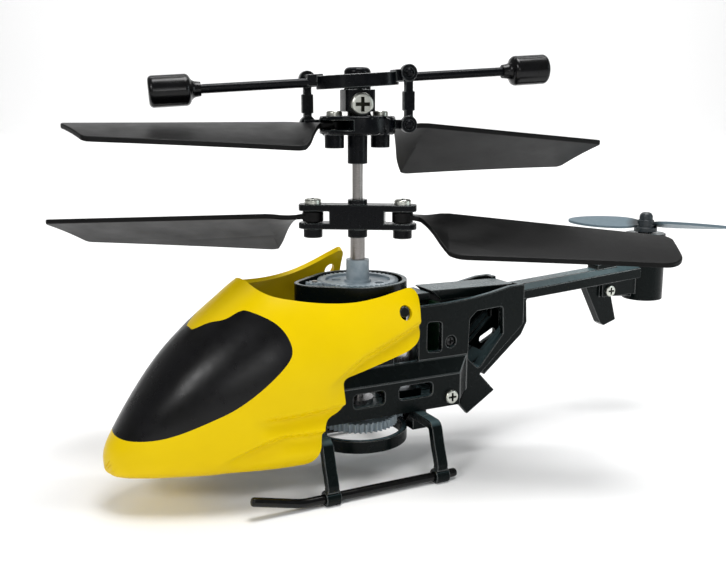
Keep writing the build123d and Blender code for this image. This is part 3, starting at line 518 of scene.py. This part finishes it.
NOSE_X = 37.0
TOP_SQUARENESS = 2.25
SECTION_POINTS = 240
SHELL_WALL = 0.75
TIP_WALL = 0.15            # the share of the wall's thickness that is left at the nose's tip
TIP_TAPER = 4.0
RIM_ANGLE = 40

# Side-view outlines, x and z. The window's runs from the crest round to the nose.
WINDOW_FRONT_X = 35.6
TOP_RIM = ((17.4, 29.8), (17.4, 29.2), (16.8, 28.5), (15.4, 27.9), (13.3, 27.5), (10.3, 27.0),
           (6.8, 26.7), (4.2, 26.7), (1.0, 27.0), (-2.2, 27.5), (-4.0, 27.7))
REAR_EDGE = ((-4.7, 27.5), (-5.1, 26.8), (-4.9, 25.4), (-4.5, 23.3), (-4.7, 21.5), (-4.1, 20.4),
             (-2.4, 19.4), (7.5, 16.7), (7.3, 13.1), (8.0, 12.4), (9.7, 11.8), (10.3, 10.9), (10.7, 7.8),
             (11.4, 6.4), (12.4, 5.6), (24.0, 5.3), (24.4, 4.4))
WINDOW_EDGE = ((25.0, 23.45), (23.1, 24.7), (21.5, 25.1), (19.6, 26.3), (18.8, 26.4), (16.2, 25.2),
               (14.9, 23.6), (14.3, 21.6), (14.8, 20.3), (16.6, 18.5), (19.3, 16.3), (22.2, 14.4),
               (25.0, 13.2), (28.5, 11.7), (31.2, 10.8), (34.0, 10.4), (WINDOW_FRONT_X, 10.38))
SOFT_CORNER = 4.0          # how far from a corner an outline starts to turn
TIGHT_CORNER = 0.7
PEG = (-2.4, 24.7)
EAR_HOLE_R = 1.0
EAR_HOLE_POINTS = 20

# The starboard cheek is sprung off its peg: behind EAR_ROOT_X it is bent up and forward.
EAR_ROOT_X = 16.5
EAR_LIFT = 3.3
EAR_LEAN = 0.16
EAR_LEAN_Z = 8.0

# Folds pressed in the cheeks, as side-view lines: the skin steps in below each one.
# Each fold has its line, how deep it goes, how fast it drops and how far below the line it runs out.
FOLDS = (
    (((-7.5, 24.3), (-0.9, 21.8), (2.2, 20.6), (4.6, 19.7), (10.5, 16.0)), 1.0, 0.9, 6.0),
    (((4.0, 13.7), (12.5, 13.1), (15.9, 12.9), (20.5, 12.9)), 0.9, 0.7, 2.6),
    (((7.0, 10.1), (15.9, 10.3), (18.2, 9.8), (20.3, 8.9), (24.5, 7.2)), 0.9, 0.7, 3.0),
)
FOLD_FADE = 4.5            # how far before its front end a fold starts to fade
FOLD_LEAD = 0.15

EDGE_SPACING = 0.35
GRID = 0.38
ROW_PITCH = 0.87           # rows of the triangle grid, in shares of its spacing
EDGE_CLEARANCE = 0.6       # of grid points from the outline, in shares of the spacing
SEAM_GAP = 0.05
TIP_DEPTH = 0.02


def slopes(xs, ys):
    """Slopes of a smooth curve through the stations."""
    steps = np.diff(ys) / np.diff(xs)
    inner = (steps[1:] + steps[:-1]) / 2
    return np.concatenate(([steps[0]], inner, [steps[-1]]))


STATION_SLOPES = [slopes(STATIONS[:, 0], column) for column in STATIONS[:, 1:].T]


def station(x):
    """Crest, keel, belt, half width and lower squareness of the shell at x."""
    xs = STATIONS[:, 0]
    x = min(max(x, xs[0]), xs[-1])
    i = min(int(np.searchsorted(xs, x, side="right")) - 1, len(xs) - 2)
    width = xs[i + 1] - xs[i]
    t = (x - xs[i]) / width
    values = []
    for column, slope in enumerate(STATION_SLOPES, start=1):
        a, b = STATIONS[i, column], STATIONS[i + 1, column]
        values.append((2 * t**3 - 3 * t**2 + 1) * a + (t**3 - 2 * t**2 + t) * width * slope[i]
                      + (3 * t**2 - 2 * t**3) * b + (t**3 - t**2) * width * slope[i + 1])
    return values


def section(x):
    """Half of the cross-section at x, crest to keel: lengths along it, y and z."""
    crest, keel, belt, half, low = station(x)
    angle = np.linspace(0, pi / 2, SECTION_POINTS)
    ease = (1 - np.cos(2 * angle)) / 2 * pi / 2
    top_power, low_power = 2 / TOP_SQUARENESS, 2 / low
    top_y = half * np.sin(ease) ** top_power
    top_z = belt + (crest - belt) * np.cos(ease) ** top_power
    low_y = half * np.cos(ease) ** low_power
    low_z = belt + (keel - belt) * np.sin(ease) ** low_power
    y = np.concatenate((top_y, low_y[1:]))
    z = np.concatenate((top_z, low_z[1:]))
    along = np.concatenate(([0.0], np.cumsum(np.hypot(np.diff(y), np.diff(z)))))
    return along, y, z


def keel_length(x):
    """Length of the half section at x, from the crest to the keel."""
    return float(section(x)[0][-1])


def to_flat(x, z):
    """The point of the flattened shell whose side view is (x, z)."""
    along, _, heights = section(x)
    return x, float(np.interp(-z, -heights, along))


def smooth_line(points, reach):
    """Rounds the corners of an open line, each from no further than reach away, and keeps its ends."""
    points = [Vector(p) for p in points]
    line = [points[0]]
    for before, corner, after in zip(points, points[1:], points[2:]):
        start = corner + (before - corner).normalized() * min(reach, (before - corner).length / 2)
        end = corner + (after - corner).normalized() * min(reach, (after - corner).length / 2)
        for t in (0.0, 0.25, 0.5, 0.75, 1.0):
            line.append(start.lerp(corner, t).lerp(corner.lerp(end, t), t))
    return line + [points[-1]]


def resample(points, spacing):
    """The same line with points every spacing."""
    points = [Vector(p) for p in points]
    lengths = [0.0]
    for a, b in zip(points, points[1:]):
        lengths.append(lengths[-1] + (b - a).length)
    count = max(2, round(lengths[-1] / spacing) + 1)
    at = np.linspace(0, lengths[-1], count)
    return [Vector((float(np.interp(s, lengths, [p.x for p in points])),
                    float(np.interp(s, lengths, [p.y for p in points])))) for s in at]


def flat_line(points, reach=SOFT_CORNER):
    """A side-view line carried over to the flattened shell, evenly divided."""
    dense = resample(smooth_line(points, reach), 0.1)
    return resample([to_flat(p.x, p.y) for p in dense], EDGE_SPACING)


def centre_line(x_from, x_to, keel=False):
    """The crest or the keel of the flattened shell between two stations."""
    count = max(2, round(abs(x_to - x_from) / 0.3))
    line = [(float(x), keel_length(x) if keel else 0.0) for x in np.linspace(x_from, x_to, count)]
    return resample(line, EDGE_SPACING)


def joined(*lines):
    """One closed loop out of lines that meet end to end."""
    loop = []
    for line in lines:
        loop += [p for p in line if not loop or (p - loop[-1]).length > SEAM_GAP]
    if (loop[0] - loop[-1]).length < SEAM_GAP:
        loop.pop()
    return loop


def inside(point, loop):
    """Whether a flat point lies inside a closed loop."""
    x, y = point
    odd = False
    for a, b in zip(loop, loop[1:] + loop[:1]):
        if (a.y > y) != (b.y > y) and x < a.x + (b.x - a.x) * (y - a.y) / (b.y - a.y):
            odd = not odd
    return odd


def kept(point, loop, hole):
    """Whether a flat point belongs to the panel that a loop bounds and a hole pierces."""
    return inside(point, loop) and not (hole and inside(point, hole))


def eased(t):
    t = min(max(t, 0.0), 1.0)
    return t * t * (3 - 2 * t)


def crease(x, z):
    """How far the shell is pressed in at this point of its side view, in millimetres."""
    depth = 0.0
    for line, deepest, drop, run_out in FOLDS:
        xs = [p[0] for p in line]
        if not xs[0] < x < xs[-1]:
            continue
        below = float(np.interp(x, xs, [p[1] for p in line])) - z
        fade = eased((xs[-1] - x) / FOLD_FADE)
        depth += deepest * fade * eased((below + FOLD_LEAD) / drop) * (1 - eased((below - drop) / run_out))
    return depth


def shell_point(x, w, side):
    """A flattened shell point put back in space, in millimetres; side is 1 to port and -1 to starboard."""
    along, y, z = section(x)
    height = float(np.interp(w, along, z))
    across = float(np.interp(w, along, y)) - crease(x, height)
    if side > 0:
        return x, across, height
    bend = max(0.0, (EAR_ROOT_X - x) / (EAR_ROOT_X - PEG[0])) ** 1.5
    return x + EAR_LEAN * bend * (height - EAR_LEAN_Z), -across, height + EAR_LIFT * bend


def triangulated(loop, hole):
    """Points and triangles that fill a flat loop round its hole."""
    points = list(loop) + list(hole)
    outline = np.array([tuple(p) for p in points])
    xs = [p.x for p in loop]
    ws = [p.y for p in loop]
    for j, w in enumerate(np.arange(min(ws) + GRID / 2, max(ws), GRID * ROW_PITCH)):
        for x in np.arange(min(xs) + (GRID / 2 if j % 2 else 0), max(xs), GRID):
            near = np.min(np.hypot(outline[:, 0] - x, outline[:, 1] - w))
            if near > EDGE_CLEARANCE * GRID and kept((x, w), loop, hole):
                points.append(Vector((x, w)))
    count, pierced = len(loop), len(hole)
    edges = [(i, (i + 1) % count) for i in range(count)]
    edges += [(count + i, count + (i + 1) % pierced) for i in range(pierced)]
    flat, _, faces, _, _, _ = delaunay_2d_cdt(points, edges, [], 0, 1e-6)
    middles = [sum((flat[i] for i in face), Vector((0, 0))) / len(face) for face in faces]
    return flat, [face for face, middle in zip(faces, middles) if kept(middle, loop, hole)]


def close_tip(bm):
    """Fills the small ring that the panel leaves open at the tip of the nose."""
    tip = NOSE_X + SHAFT_X - TIP_DEPTH
    ring = [e for e in bm.edges if e.is_boundary and all(v.co.x > tip * MM for v in e.verts)]
    bmesh.ops.holes_fill(bm, edges=ring)


def face_outwards(bm):
    bmesh.ops.recalc_face_normals(bm, faces=bm.faces)
    top = max(bm.faces, key=lambda f: f.calc_center_median().z)
    if top.normal.z < 0:
        bmesh.ops.reverse_faces(bm, faces=bm.faces)


def add_wall(piece):
    """Gives the sheet its wall, inwards and thinner towards the nose's tip, with sharp rims."""
    thickness = piece.vertex_groups.new(name="thickness")
    for vertex in piece.data.vertices:
        to_tip = NOSE_X + SHAFT_X - vertex.co.x / MM
        thickness.add([vertex.index], min(1.0, TIP_WALL + to_tip / TIP_TAPER), "REPLACE")
    wall = piece.modifiers.new("wall", "SOLIDIFY")
    wall.thickness = SHELL_WALL * MM
    wall.vertex_group = thickness.name
    wall.offset = -1.0
    wall.use_even_offset = True
    walled = bpy.data.meshes.new_from_object(piece.evaluated_get(bpy.context.evaluated_depsgraph_get()))
    walled.set_sharp_from_angle(angle=radians(RIM_ANGLE))
    piece.modifiers.clear()
    piece.data = walled


def shell_panel(name, slot, node, loop, hole=(), closed_tip=False):
    """Both halves of a panel of the shell, whose flat outline on one half is loop, with a hole in each."""
    flat, faces = triangulated(loop, hole)
    bm = bmesh.new()
    for side in (1, -1):
        verts = [bm.verts.new(place(*shell_point(p.x, p.y, side))) for p in flat]
        for face in faces:
            bm.faces.new([verts[i] for i in face[::side]])
    bmesh.ops.remove_doubles(bm, verts=bm.verts, dist=SEAM_GAP * MM)
    if closed_tip:
        close_tip(bm)
    face_outwards(bm)
    for face in bm.faces:
        face.smooth = True
    piece = new_piece(name, bm, [MATERIAL[slot]])
    add_wall(piece)
    take_over(piece, node)


def make_canopy():
    window = flat_line(WINDOW_EDGE)
    window_top = Vector((window[0].x, 0.0))
    rim = flat_line(TOP_RIM)
    rear = flat_line(TOP_RIM[-1:] + REAR_EDGE, TIGHT_CORNER)
    nose_cap = [Vector((NOSE_X, keel_length(NOSE_X))), Vector((NOSE_X, 0.0))]
    crest_back = centre_line(window_top.x, rim[0].x)
    crest_nose = centre_line(NOSE_X, WINDOW_FRONT_X)
    keel = centre_line(rear[-1].x, NOSE_X, keel=True)
    body = joined(crest_back, rim, rear, keel, nose_cap, crest_nose, window[::-1], [window_top])
    hole = [Vector(to_flat(PEG[0] + EAR_HOLE_R * cos(a), PEG[1] + EAR_HOLE_R * sin(a)))
            for a in np.arange(EAR_HOLE_POINTS) * 2 * pi / EAR_HOLE_POINTS]
    shell_panel("canopy_shell", "canopy_yellow", "canopy", body, hole, closed_tip=True)
    glass = joined(centre_line(WINDOW_FRONT_X, window_top.x), window)
    shell_panel("windscreen_shell", "window_black", "windscreen", glass)


# ---------------------------------------------------------------------------------------------
# Build
# ---------------------------------------------------------------------------------------------

make_camera()
make_studio()
make_floor()

for subpart in frame["record"]["subparts"]:
    slots = NODE[subpart["node"]].data.materials
    slots.clear()
    slots.append(MATERIAL[subpart["material_slot"]])

make_canopy()

for slot, widths in ROUNDED.items():
    for node, width in widths.items():
        rounded_copy(node, slot, width)

for node in SCREWS:
    screw_copy(node)
